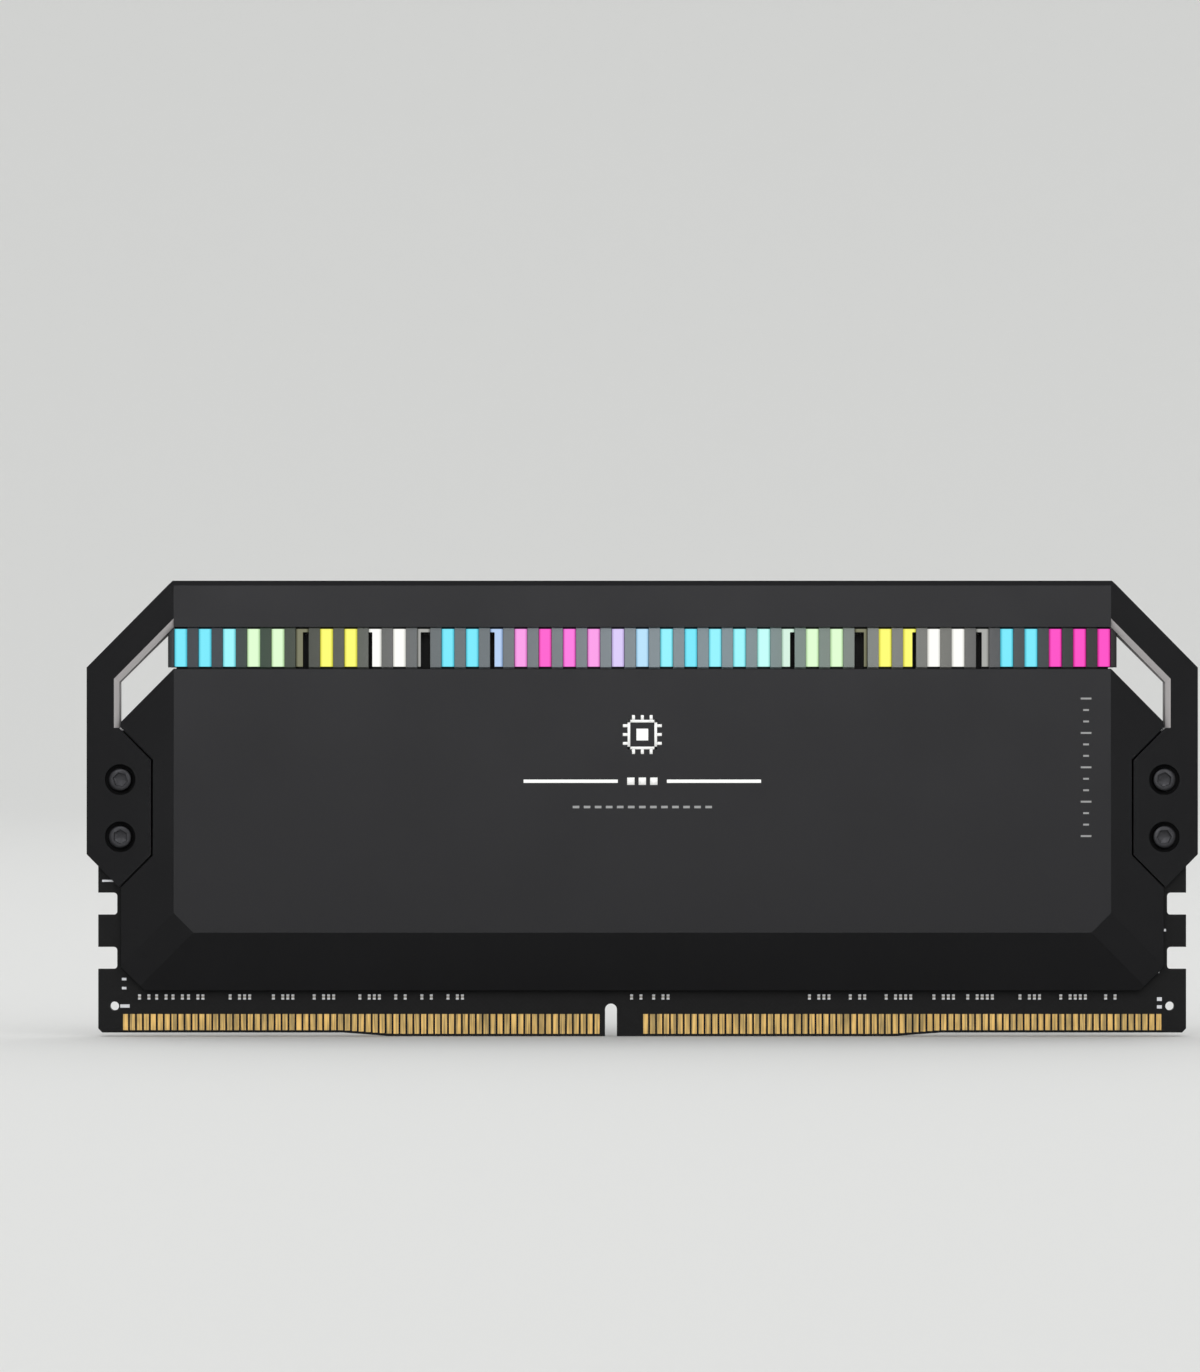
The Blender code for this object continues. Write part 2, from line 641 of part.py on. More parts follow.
def thermal_pads():
    """Pads under each bank of chips, one over the power controller, and thicker ones behind the board."""
    over_chips = BOARD_HALF + SOLDER_GAP + CHIP_THICKNESS + SEAT_GAP
    under_plate = PLATE_INSIDE - SEAT_GAP
    near = CENTRE_ZONE + CHIP_PITCH / 2 - CHIP_WIDTH / 2
    far = CENTRE_ZONE + CHIP_PITCH * (CHIPS_PER_SIDE - 0.5) + CHIP_WIDTH / 2
    foot = CHIP_CENTRE_HEIGHT - CHIP_HEIGHT / 2 - PAD_OVERLAP
    top = CHIP_CENTRE_HEIGHT + CHIP_HEIGHT / 2 + PAD_OVERLAP
    for word, end in (("left", -1), ("right", 1)):
        span = sorted((end * near, end * far))
        front_depth, rear_depth = (over_chips, under_plate), (BOARD_HALF + SEAT_GAP, under_plate)
        facing_box(f"front_thermal_pad_{word}", FRONT, span, front_depth, (foot, top), PAD_GREY)
        facing_box(f"rear_thermal_pad_{word}", REAR, span, rear_depth, (foot, top), PAD_GREY)
    width, thickness, height = POWER_CONTROLLER
    controller_face = BOARD_HALF + SOLDER_GAP + thickness + SEAT_GAP
    span, rise = (-width / 2, width / 2), (POWER_HEIGHT - height / 2, POWER_HEIGHT + height / 2)
    facing_box("power_thermal_pad", FRONT, span, (controller_face, under_plate), rise, PAD_GREY)


# ---------------------------------------------------------------- top bar and its screws


def screw_way(end, height):
    """A cutter for one pair of screws: a counterbore on each face, with a clearance hole between."""
    outer = HALF_THICKNESS + MM
    clear_shank = SCREW_SHANK_RADIUS + 0.15 * MM
    half = [
        (outer, 0),
        (outer, COUNTERBORE_RADIUS),
        (COUNTERBORE_FLOOR, COUNTERBORE_RADIUS),
        (COUNTERBORE_FLOOR, clear_shank),
    ]
    profile = half + [(-along, radius) for along, radius in reversed(half)]
    way = turned(f"screw_way_{end}_{height:.4f}", profile, COUNTERBORE_STEPS)
    way.matrix_world = Matrix.Translation((end * SCREW_X, 0, height)) @ way.matrix_world
    return way


def window_slope(end, side):
    """A cutter that slopes the outer and upper edges of one end window, in line with the facet there."""
    face = HALF_THICKNESS - FACET_SLOPE * (ARM_INSIDE - PANEL_HALF)
    depth = face - BRIGHT_EDGE_WIDTH * (1 + FACET_SLOPE)
    made = facing_box(
        f"window_slope_{end}_{side}",
        side,
        sorted((end * PANEL_HALF, end * HALF_LENGTH)),
        (depth - BRIGHT_EDGE_WIDTH / 2, HALF_THICKNESS + MM),
        (BRACKET_TOP + BRACKET_STEP, OVERALL_HEIGHT),
    )
    corner = (end * ARM_INSIDE, side * depth, WINDOW_TOP + PANEL_HALF - ARM_INSIDE)
    diagonal = math.sqrt(2)
    shape = bmesh.new()
    shape.from_mesh(made.data)
    slice_off(shape, corner, (end, -side, 0))
    slice_off(shape, corner, (end * (1 - diagonal * FACET_SLOPE), -diagonal * side, 1))
    shape.to_mesh(made.data)
    shape.free()
    return made


def top_bar(form):
    """One piece over the top of the module: rail, arms and brackets, with a slot for the board's ends."""
    outline = both_ends(top_bar_half_outline())
    bar = plate("top_bar", outline, -HALF_THICKNESS - MM, HALF_THICKNESS + MM, SATIN_BLACK)
    inside_form(bar, form)
    slot_top = BOARD_SLANT - ARM_INSIDE + 4 * SEAT_GAP
    board_slot = box(
        "board_slot",
        (-BOARD_LENGTH / 2 - BOARD_END_PLAY, -BOARD_CLEARANCE, SPREADER_FOOT),
        (BOARD_LENGTH / 2 + BOARD_END_PLAY, BOARD_CLEARANCE, slot_top),
    )
    groove_half = STRIP_HALF_LENGTH + SEAT_GAP
    groove = box(
        "light_groove",
        (-groove_half, -REBATE_FACE, WINDOW_TOP - 2 * MM),
        (groove_half, REBATE_FACE, LIGHT_BAR_TOP + SEAT_GAP),
    )
    cut(bar, board_slot, groove)
    for end in (-1, 1):
        cut(bar, window_slope(end, FRONT), window_slope(end, REAR))
        for height in SCREW_HEIGHTS:
            cut(bar, screw_way(end, height))
    return bar


def smooth_turning(mesh, finish):
    """Shades a turned mesh smooth, with its corners kept sharp, and gives it its material."""
    mesh.shade_smooth()
    mesh.set_sharp_from_angle(angle=math.radians(30))
    mesh.materials.append(finish)
    return mesh


def hex_cutter(name, across_flats, near, far):
    """A six-sided cutter along local Z."""
    shape = bmesh.new()
    radius = across_flats / math.sqrt(3)
    place = Matrix.Translation((0, 0, (near + far) / 2))
    bmesh.ops.create_cone(
        shape, cap_ends=True, segments=6, radius1=radius, radius2=radius, depth=far - near, matrix=place
    )
    mesh = bpy.data.meshes.new(name)
    shape.to_mesh(mesh)
    shape.free()
    return add_object(name, mesh)


def screw_mesh():
    """A button-headed screw with a hex socket, along local Z with its head outwards."""
    seat = COUNTERBORE_FLOOR + THREAD_CLEARANCE
    top = seat + SCREW_HEAD_HEIGHT
    tip = BARREL_HALF - THREAD_ENGAGEMENT
    rim = 0.25 * MM
    profile = [
        (top, 0),
        (top, SCREW_HEAD_RADIUS - rim),
        (top - rim, SCREW_HEAD_RADIUS),
        (seat, SCREW_HEAD_RADIUS),
        (seat, SCREW_SHANK_RADIUS),
        (tip, SCREW_SHANK_RADIUS),
        (tip, 0),
    ]
    blank = turned("screw_blank", profile, ROUND_STEPS)
    blank.matrix_world = Matrix.Identity(4)
    cut(blank, hex_cutter("hex_socket", SOCKET_ACROSS_FLATS, top - SOCKET_DEPTH, top + MM))
    mesh = evaluated_mesh(blank)
    bpy.data.objects.remove(blank)
    return smooth_turning(mesh, STEEL_BLACK)


def barrel_mesh():
    """A threaded barrel set flush in the board, which the front and the rear screw share."""
    bore = SCREW_SHANK_RADIUS + THREAD_CLEARANCE
    profile = [
        (BARREL_HALF, bore),
        (BARREL_HALF, BARREL_RADIUS),
        (-BARREL_HALF, BARREL_RADIUS),
        (-BARREL_HALF, bore),
    ]
    blank = turned("barrel_blank", profile, ROUND_STEPS)
    blank.matrix_world = Matrix.Identity(4)
    mesh = evaluated_mesh(blank)
    bpy.data.objects.remove(blank)
    return smooth_turning(mesh, BRASS)


def fasteners():
    screw, barrel = screw_mesh(), barrel_mesh()
    faces = {"front": math.pi / 2, "rear": -math.pi / 2}
    for word, end in (("left", -1), ("right", 1)):
        for level, height in zip(("upper", "lower"), SCREW_HEIGHTS):
            place = Matrix.Translation((end * SCREW_X, 0, height))
            for face, turn in faces.items():
                made = add_object(f"screw_{face}_{word}_{level}", screw)
                made.matrix_world = place @ Matrix.Rotation(turn, 4, "X")
            made = add_object(f"threaded_barrel_{word}_{level}", barrel)
            made.matrix_world = place @ Matrix.Rotation(math.pi / 2, 4, "X")


# ---------------------------------------------------------------- light strip


def rib_centres():
    return [(number - (RIB_COUNT - 1) / 2) * RIB_PITCH for number in range(RIB_COUNT)]


def fin_strip(name, side):
    """A comb of fins between two flanges, which hide behind the rail and the spreader."""
    end = STRIP_HALF_LENGTH
    arm_line = WINDOW_TOP + PANEL_HALF - STRIP_GAP * math.sqrt(2)
    right_half = [
        (arm_line - STRIP_TOP, STRIP_TOP),
        (end, arm_line - end),
        (end, STRIP_FOOT),
    ]
    strip = plate(name, both_ends(right_half), side * STRIP_BACK, side * FIN_FACE, FIN_BLACK)
    depth = (STRIP_BACK, FLANGE_FACE)
    lower_half = REBATE_HALF_LENGTH - 2 * SEAT_GAP
    lower = (STRIP_FOOT - STRIP_FLANGE_REACH, STRIP_FOOT + MM)
    upper = (STRIP_TOP - MM, STRIP_TOP + STRIP_FLANGE_REACH - SEAT_GAP)
    join(strip, facing_box(name + "_lower_flange", side, (-lower_half, lower_half), depth, lower))
    join(strip, facing_box(name + "_upper_flange", side, (-end, end), depth, upper))
    half_slot = RIB_WIDTH / 2 + RIB_CLEARANCE
    overrun = 0.2 * MM
    slots = [
        ((x - half_slot, -2 * HALF_THICKNESS, STRIP_FOOT - overrun),
         (x + half_slot, 2 * HALF_THICKNESS, STRIP_TOP + overrun))
        for x in rib_centres()
    ]
    return cut(strip, boxes(name + "_slots", slots))


def light_bar():
    """The diffuser: ribs on both faces fill the fins' gaps, and slots from below take the board's tabs."""
    half_length = REBATE_HALF_LENGTH - SEAT_GAP
    bar = box(
        "light_bar",
        (-half_length, -LIGHT_BAR_HALF, LIGHT_BAR_FOOT),
        (half_length, LIGHT_BAR_HALF, LIGHT_BAR_TOP),
        DIFFUSER,
    )
    ribs = [
        ((x - RIB_WIDTH / 2, -RIB_FACE, RIB_FOOT), (x + RIB_WIDTH / 2, RIB_FACE, RIB_TOP))
        for x in rib_centres()
    ]
    slots = [
        ((x - TAB_SLOT_WIDTH / 2, -2 * HALF_THICKNESS, LIGHT_BAR_FOOT - MM),
         (x + TAB_SLOT_WIDTH / 2, 2 * HALF_THICKNESS, TAB_SLOT_TOP))
        for x in tab_centres()
    ]
    join(bar, boxes("ribs", ribs))
    return cut(bar, boxes("tab_slots", slots))


# ---------------------------------------------------------------- the module

form = outer_form()
circuit_board()
components()
lights()
thermal_pads()
spreader("front_spreader", FRONT, form)
spreader("rear_spreader", REAR, form)
top_bar(form)
fasteners()
fin_strip("front_fin_strip", FRONT)
fin_strip("rear_fin_strip", REAR)
light_bar()
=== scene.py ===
import math

import bmesh
import bpy
from mathutils import Matrix, Vector


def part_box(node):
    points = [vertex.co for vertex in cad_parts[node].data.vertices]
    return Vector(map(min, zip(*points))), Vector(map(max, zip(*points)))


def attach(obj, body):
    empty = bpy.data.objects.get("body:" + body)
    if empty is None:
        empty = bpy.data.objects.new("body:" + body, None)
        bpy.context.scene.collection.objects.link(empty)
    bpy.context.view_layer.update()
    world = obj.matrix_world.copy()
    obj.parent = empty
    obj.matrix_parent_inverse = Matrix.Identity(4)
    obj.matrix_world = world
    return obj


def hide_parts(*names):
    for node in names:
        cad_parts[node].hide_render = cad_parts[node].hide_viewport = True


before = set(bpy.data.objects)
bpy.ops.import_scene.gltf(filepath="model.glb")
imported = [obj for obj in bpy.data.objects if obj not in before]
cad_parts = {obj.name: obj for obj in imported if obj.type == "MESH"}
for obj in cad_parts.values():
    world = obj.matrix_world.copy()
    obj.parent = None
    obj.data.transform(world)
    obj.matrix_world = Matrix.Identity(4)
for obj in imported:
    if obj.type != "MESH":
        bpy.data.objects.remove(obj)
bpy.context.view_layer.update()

mm = 0.001
body = "root"  # nothing moves, so every piece rides on one body
finLow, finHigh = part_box("front_fin_strip")
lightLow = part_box("light_bar")[0]
faceDepth = -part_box("top_bar")[0].y  # the module's front face is this far in front of its middle plane
print("frame loaded:", len(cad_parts), "nodes")


# Small helpers for colours, nodes and meshes

def linear(hexColour):  # "#rrggbb" in sRGB, as linear red, green, blue and alpha
    parts = [int(hexColour[i:i + 2], 16) / 255 for i in (1, 3, 5)]
    return (*[c / 12.92 if c <= 0.04045 else ((c + 0.055) / 1.055) ** 2.4 for c in parts], 1)


def addNode(tree, kind, values=None, links=None, **settings):
    node = tree.nodes.new(kind)
    for name, value in settings.items():
        setattr(node, name, value)
    for name, value in (values or {}).items():
        node.inputs[name].default_value = value
    for name, source in (links or {}).items():
        tree.links.new(source, node.inputs[name])
    return node


def newMaterial(name, colour, roughness, metallic=0.0, **sockets):
    made = bpy.data.materials.new(name)
    made.use_nodes = True
    shader = made.node_tree.nodes["Principled BSDF"]
    shader.inputs["Base Color"].default_value = linear(colour)
    shader.inputs["Roughness"].default_value = roughness
    shader.inputs["Metallic"].default_value = metallic
    for socket, value in sockets.items():
        shader.inputs[socket.replace("_", " ")].default_value = value
    made.diffuse_color = linear(colour)
    tree = made.node_tree
    place = addNode(tree, "ShaderNodeTexCoord").outputs["Object"]
    return made, tree, shader, place


def addGrain(tree, shader, place, grainMm, depthMm):  # a fine bump; returns its noise
    noise = addNode(tree, "ShaderNodeTexNoise", {"Scale": 1 / (grainMm * mm), "Detail": 2.0},
                    {"Vector": place})
    bump = addNode(tree, "ShaderNodeBump", {"Distance": depthMm * mm, "Strength": 0.6},
                   {"Height": noise.outputs["Fac"]})
    tree.links.new(bump.outputs["Normal"], shader.inputs["Normal"])
    return noise.outputs["Fac"]


def addPatches(tree, shader, place, low, high, patchMm):  # roughness that drifts between two values
    noise = addNode(tree, "ShaderNodeTexNoise", {"Scale": 1 / (patchMm * mm), "Detail": 3.0},
                    {"Vector": place})
    limits = {"From Min": 0.3, "From Max": 0.7, "To Min": low, "To Max": high}
    spread = addNode(tree, "ShaderNodeMapRange", limits, {"Value": noise.outputs["Fac"]})
    tree.links.new(spread.outputs["Result"], shader.inputs["Roughness"])


def addTones(tree, shader, factor, tones):  # a colour for each [(position, hex)], read by a 0 to 1 factor
    ramp = addNode(tree, "ShaderNodeValToRGB", links={"Fac": factor})
    while len(ramp.color_ramp.elements) < len(tones):
        ramp.color_ramp.elements.new(0.5)
    for element, (position, colour) in zip(ramp.color_ramp.elements, tones):
        element.position = position
        element.color = linear(colour)
    tree.links.new(ramp.outputs["Color"], shader.inputs["Base Color"])


# What counts as sharp, folded, narrow or broad when edges are softened and shaded; angles in degrees
edgeLook = {"sharp": 28, "fold": (2, 20), "crease": 38, "stripWidth": 0.2 * mm, "broadArea": 1.5 * mm * mm,
            "weldGap": 0.0005 * mm, "flatWithin": 0.3}


def mergeFlats(shape):  # welds loose corners and turns each flat area into a single face
    bmesh.ops.remove_doubles(shape, verts=shape.verts, dist=edgeLook["weldGap"])
    bmesh.ops.dissolve_limit(shape, angle_limit=math.radians(edgeLook["flatWithin"]), verts=shape.verts,
                             edges=shape.edges)


def cadCopy(node):  # the node's mesh, ready for finer work
    shape = bmesh.new()
    shape.from_mesh(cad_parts[node].data)
    mergeFlats(shape)
    bmesh.ops.recalc_face_normals(shape, faces=shape.faces)
    return shape


def edgeAngle(edge):
    return math.degrees(edge.calc_face_angle(0)) if len(edge.link_faces) == 2 else 0


def isStrip(face):  # a narrow face, such as one left by a bevel
    return face.calc_area() < edgeLook["stripWidth"] * max(edge.calc_length() for edge in face.edges)


def softenEdges(shape, widthMm, keep=lambda edge: True):
    sharp = [e for e in shape.edges if edgeAngle(e) > edgeLook["sharp"] and keep(e)]
    bmesh.ops.bevel(shape, geom=sharp, offset=widthMm * mm, offset_type="OFFSET", segments=2, profile=0.5,
                    affect="EDGES", clamp_overlap=True)
    least, most = edgeLook["fold"]
    for edge in shape.edges:
        if least < edgeAngle(edge) < most and not any(isStrip(face) for face in edge.link_faces):
            edge.smooth = False  # a shallow fold between facets stays a crisp line


def finishPiece(name, shape, materials, replaced=(), pick=None, ride=True):
    mesh = bpy.data.meshes.new(name)
    for edge in shape.edges:
        if edgeAngle(edge) > edgeLook["crease"]:
            edge.smooth = False
    for face in shape.faces:  # broad faces stay truly flat
        face.smooth = not ride or isStrip(face) or face.calc_area() < edgeLook["broadArea"]
        if pick:
            face.material_index = pick(face.calc_center_median(), face.normal, face)
    shape.to_mesh(mesh)
    shape.free()
    for made in materials:
        mesh.materials.append(made)
    piece = bpy.data.objects.new(name, mesh)
    bpy.context.scene.collection.objects.link(piece)
    if ride:
        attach(piece, body)
    if replaced:
        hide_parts(*replaced)
    return piece


def addBox(shape, low, high):
    low, high = Vector(low), Vector(high)
    size = high - low
    place = Matrix.Translation((low + high) / 2) @ Matrix.Diagonal((*size, 1))
    return bmesh.ops.create_cube(shape, size=1, matrix=place)["verts"]


# Blasted aluminium, dyed black in the anodising bath: a soft satin sheen with a very fine tooth.
# The tooth is drawn at 0.22 mm, coarser than the real grit of about 0.1 mm, so that it shows
anodised = {"colour": "#222223", "roughness": (0.29, 0.35), "grainMm": 0.22, "depthMm": 0.004, "patchMm": 14,
            "grazing": (0.12, 0.12, 0.12, 1)}  # the dyed layer swallows most of the glare at a flat angle


def anodisedAluminium():
    low, high = anodised["roughness"]
    made, tree, shader, place = newMaterial("black anodised aluminium", anodised["colour"], high, 1.0,
                                            Specular_Tint=anodised["grazing"])
    addGrain(tree, shader, place, anodised["grainMm"], anodised["depthMm"])
    addPatches(tree, shader, place, low, high, anodised["patchMm"])
    return made


# Bare aluminium left by the cutter and then blasted: an even light grey line round each window
bareEdge = {"colour": "#b9b5b5", "roughness": (0.5, 0.6), "metallic": 0.25, "grainMm": 0.12, "depthMm": 0.002,
            "patchMm": 2.0}


def bareAluminium():
    low, high = bareEdge["roughness"]
    made, tree, shader, place = newMaterial("blasted bare aluminium", bareEdge["colour"], low,
                                            bareEdge["metallic"])
    addGrain(tree, shader, place, bareEdge["grainMm"], bareEdge["depthMm"])
    addPatches(tree, shader, place, low, high, bareEdge["patchMm"])
    return made


# Behind that line the sawn wall is bare but coarse; the milled screw recesses are painted near black and
# dull, as painted shade
sawnWall = {"colour": "#8f8c8c", "roughness": 0.75, "gloss": 0.1, "grainMm": 0.1, "depthMm": 0.006}
recessPaintedShade = {"colour": "#0c0c0d", "roughness": 0.85, "gloss": 0.15, "grainMm": 0.1, "depthMm": 0.004}


def coarseAluminium(name, look):
    made, tree, shader, place = newMaterial(name, look["colour"], look["roughness"],
                                            Specular_IOR_Level=look["gloss"])
    addGrain(tree, shader, place, look["grainMm"], look["depthMm"])
    return made


satinBlack = anodisedAluminium()
brightLine = bareAluminium()
bareWall = coarseAluminium("sawn bare aluminium", sawnWall)
# near-black paint for the screw recesses: painted shade
recessShadeBlack = coarseAluminium("dull black milled recess", recessPaintedShade)


# Top bar: the blank with finer screw recesses, soft edges and bright window edges
recess = {"radius": 1.885 * mm, "floor": 1.64 * mm, "sides": 64, "innerHalf": 2.6 * mm, "margin": 0.02 * mm}
# A window's inner faces turn to the middle and not up or forward; the sloped ones turn partly forward
window = {"foot": 37 * mm, "side": 57 * mm, "leastArea": 0.5 * mm * mm, "mostUp": 0.1, "mostForward": 0.95,
          "sloped": 0.3}
barEdges = {"widthMm": 0.09, "shortest": 0.12 * mm}


def screwCentres():
    centres = []
    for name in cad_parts:
        if name.startswith("screw_"):
            low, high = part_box(name)
            centres.append((name, (low + high) / 2, -1 if name.startswith("screw_front") else 1))
    return sorted(centres)


def makeTopBar():
    shape = cadCopy("top_bar")
    blank = bpy.data.meshes.new("topBarBlank")
    shape.to_mesh(blank)
    shape.free()
    blankObject = bpy.data.objects.new("topBarBlank", blank)
    cutters = bmesh.new()
    for _, centre, side in screwCentres():
        depth = 2 * faceDepth - recess["floor"]
        middle = Vector((centre.x, side * (recess["floor"] + depth / 2), centre.z))
        place = Matrix.Translation(middle) @ Matrix.Rotation(math.pi / 2, 4, "X")
        bmesh.ops.create_cone(cutters, cap_ends=True, segments=recess["sides"], radius1=recess["radius"],
                              radius2=recess["radius"], depth=depth, matrix=place)
    cutterMesh = bpy.data.meshes.new("recessCutter")
    cutters.to_mesh(cutterMesh)
    cutters.free()
    cutterObject = bpy.data.objects.new("recessCutter", cutterMesh)
    for helper in (blankObject, cutterObject):
        bpy.context.scene.collection.objects.link(helper)
    cut = blankObject.modifiers.new("Recesses", "BOOLEAN")
    cut.operation = "DIFFERENCE"
    cut.solver = "EXACT"
    cut.use_self = True
    cut.object = cutterObject
    graph = bpy.context.evaluated_depsgraph_get()
    finished = bpy.data.meshes.new_from_object(blankObject.evaluated_get(graph))
    for helper in (blankObject, cutterObject):
        bpy.data.objects.remove(helper)
    shape = bmesh.new()
    shape.from_mesh(finished)
    mergeFlats(shape)
    softenEdges(shape, barEdges["widthMm"], keep=lambda edge: edge.calc_length() > barEdges["shortest"])
    screws = [centre for _, centre, _ in screwCentres()]

    def barFinish(centre, normal, face):
        pastFoot = centre.z > window["foot"] and abs(centre.x) > window["side"]
        forward = abs(normal.y)
        facesIn = centre.x * normal.x < 0 and normal.z < window["mostUp"] and forward < window["mostForward"]
        if pastFoot and facesIn and face.calc_area() > window["leastArea"]:
            return 1 if forward > window["sloped"] else 2
        # faces inside a screw recess take the near-black paint: painted shade
        reach = min(math.hypot(centre.x - s.x, centre.z - s.z) for s in screws)
        inRecess = reach < recess["radius"] + recess["margin"] and abs(centre.y) < recess["innerHalf"]
        return 3 if inRecess else 0

    finishes = [satinBlack, brightLine, bareWall, recessShadeBlack]
    return finishPiece("topBar", shape, finishes, ["top_bar"], barFinish)


def makeSpreader(word):
    shape = cadCopy(word + "_spreader")
    softenEdges(shape, barEdges["widthMm"])
    return finishPiece(word + "Spreader", shape, [satinBlack], [word + "_spreader"])


makeTopBar()
for word in ("front", "rear"):
    makeSpreader(word)
print("aluminium parts made")


# Screws: low button heads in black oxide steel, oily dark with a faint blue
screwLook = {"colour": "#303032", "roughness": (0.32, 0.5), "grainMm": 0.15, "depthMm": 0.003, "patchMm": 0.8,
             "headRadius": 1.43 * mm, "seat": 1.70 * mm, "crown": 2.62 * mm, "rim": 0.22 * mm,
             "flatRadius": 1.08 * mm, "shank": 0.8 * mm, "tip": 0.1 * mm, "socketFlats": 1.5 * mm,
             "socketDepth": 0.6 * mm, "socketPoint": 0.1 * mm, "chamfer": 0.05 * mm, "chamferSpread": 1.06,
             "sides": 48, "domeSteps": 5, "turnDegrees": 17}


def blackOxideSteel():
    made, tree, shader, place = newMaterial("black oxide steel", screwLook["colour"], 0.4, 1.0)
    addGrain(tree, shader, place, screwLook["grainMm"], screwLook["depthMm"])
    addPatches(tree, shader, place, *screwLook["roughness"], screwLook["patchMm"])
    return made


def screwShape():  # rings from the socket's floor, over the domed head and down to the shank's tip
    look = screwLook
    crown, sides = look["crown"], look["sides"]
    head, flatTop = look["headRadius"], look["flatRadius"]
    turns = [math.pi / 2 * step / look["domeSteps"] for step in range(look["domeSteps"] + 1)]
    outline = [(flatTop + (head - flatTop) * math.sin(t), crown - look["rim"] * (1 - math.cos(t)))
               for t in turns]
    outline += [(head, look["seat"]), (look["shank"], look["seat"]), (look["shank"], look["tip"])]
    hexagon = []
    for step in range(sides):
        turn = 2 * math.pi * step / sides
        sector = (turn + math.pi / 6) % (math.pi / 3) - math.pi / 6
        hexagon.append((turn, look["socketFlats"] / 2 / math.cos(sector)))
    floor = crown - look["socketDepth"]
    shape = bmesh.new()
    rings = []
    for scale, height in ((1.0, floor), (1.0, crown - look["chamfer"]), (look["chamferSpread"], crown)):
        ring = [(r * scale * math.cos(t), r * scale * math.sin(t), height) for t, r in hexagon]
        rings.append([shape.verts.new(corner) for corner in ring])
    for radius, height in outline:
        ring = [(radius * math.cos(t), radius * math.sin(t), height) for t, _ in hexagon]
        rings.append([shape.verts.new(corner) for corner in ring])
    for inner, outer in zip(rings, rings[1:]):
        for step in range(sides):
            after = (step + 1) % sides
            shape.faces.new((inner[step], outer[step], outer[after], inner[after]))
    cone = shape.verts.new((0, 0, floor - look["socketPoint"]))
    for step in range(sides):
        shape.faces.new((cone, rings[0][step], rings[0][(step + 1) % sides]))
    shape.faces.new(list(reversed(rings[-1])))
    bmesh.ops.recalc_face_normals(shape, faces=shape.faces)
    return shape


def makeScrews():
    steel = blackOxideSteel()
    for number, (name, centre, side) in enumerate(screwCentres()):
        shape = screwShape()
        quarter = Matrix.Rotation(-side * math.pi / 2, 4, "X")
        turned = Matrix.Rotation(math.radians(screwLook["turnDegrees"] * number), 4, "Z")
        shape.transform(Matrix.Translation((centre.x, 0, centre.z)) @ quarter @ turned)
        finishPiece("screw" + name[6:].title().replace("_", ""), shape, [steel], [name])


makeScrews()
print("screws made")


# Circuit board: black solder mask over copper tracks, gold contacts, tinned part ends
boardLook = {"halfThickness": 0.635 * mm, "slack": 0.01 * mm, "contactTop": 2.9 * mm,
             "contactPitch": 0.85 * mm}
maskLook = {"gloss": 0.12, "dotMm": 0.45, "depthMm": 0.02, "turnDegrees": 45,
            "tones": [(0.0, "#3e3e41"), (0.2, "#303033"), (0.34, "#0b0b0c"), (1.0, "#050505")]}
laminateTones = [(0.3, "#1b1a17"), (0.7, "#35322b")]
goldLook = {"lineMm": 0.28, "lineShare": 0.72, "roughness": (0.45, 0.58), "patchMm": 1.2,
            "tones": [(0.1, "#877550"), (0.35, "#9f8758"), (0.55, "#b3965e"), (0.75, "#c19f62"),
                      (0.95, "#cba767")]}  # the wiping lines are coarser than real ones, so that they show


def solderMask():  # dots of the copper plane show through, drawn a little coarser than real ones
    made, tree, shader, place = newMaterial("black solder mask", "#151516", 0.5,
                                            Specular_IOR_Level=maskLook["gloss"])
    turned = addNode(tree, "ShaderNodeMapping", {"Rotation": (0, math.radians(maskLook["turnDegrees"]), 0)},
                     {"Vector": place})
    dots = addNode(tree, "ShaderNodeTexVoronoi", {"Scale": 1 / (maskLook["dotMm"] * mm), "Randomness": 0.25},
                   {"Vector": turned.outputs["Vector"]})
    addTones(tree, shader, dots.outputs["Distance"], maskLook["tones"])
    bump = addNode(tree, "ShaderNodeBump", {"Distance": maskLook["depthMm"] * mm, "Strength": 0.4},
                   {"Height": dots.outputs["Distance"]})
    tree.links.new(bump.outputs["Normal"], shader.inputs["Normal"])
    return made


def laminateEdge():  # sawn glass-fibre laminate, dull and slightly fibrous
    made, tree, shader, place = newMaterial("sawn glass-fibre laminate", "#26241f", 0.8)
    addTones(tree, shader, addGrain(tree, shader, place, 0.3, 0.02), laminateTones)
    return made


def goldPlate():  # hard gold over nickel: warm and satin, with wiping lines and a tone for each pad
    low, high = goldLook["roughness"]
    made, tree, shader, place = newMaterial("hard gold plate", "#b08a4a", low, 1.0)
    split = addNode(tree, "ShaderNodeSeparateXYZ", links={"Vector": place})
    number = addNode(tree, "ShaderNodeMath", {1: boardLook["contactPitch"]}, {0: split.outputs["X"]},
                     operation="DIVIDE")
    whole = addNode(tree, "ShaderNodeMath", links={0: number.outputs[0]}, operation="FLOOR")
    each = addNode(tree, "ShaderNodeTexWhiteNoise", links={"W": whole.outputs[0]}, noise_dimensions="1D")
    stretched = addNode(tree, "ShaderNodeMapping", {"Scale": (1, 0, 0.05)}, {"Vector": place})
    lines = addNode(tree, "ShaderNodeTexNoise", {"Scale": 1 / (goldLook["lineMm"] * mm), "Detail": 1.0},
                    {"Vector": stretched.outputs["Vector"]})
    clear = addNode(tree, "ShaderNodeMapRange", {"From Min": 0.36, "From Max": 0.64},
                    {"Value": lines.outputs["Fac"]})
    mixed = addNode(tree, "ShaderNodeMix", {"Factor": goldLook["lineShare"]},
                    {"A": each.outputs["Value"], "B": clear.outputs["Result"]})
    addTones(tree, shader, mixed.outputs["Result"], goldLook["tones"])
    addPatches(tree, shader, place, low, high, goldLook["patchMm"])
    return made


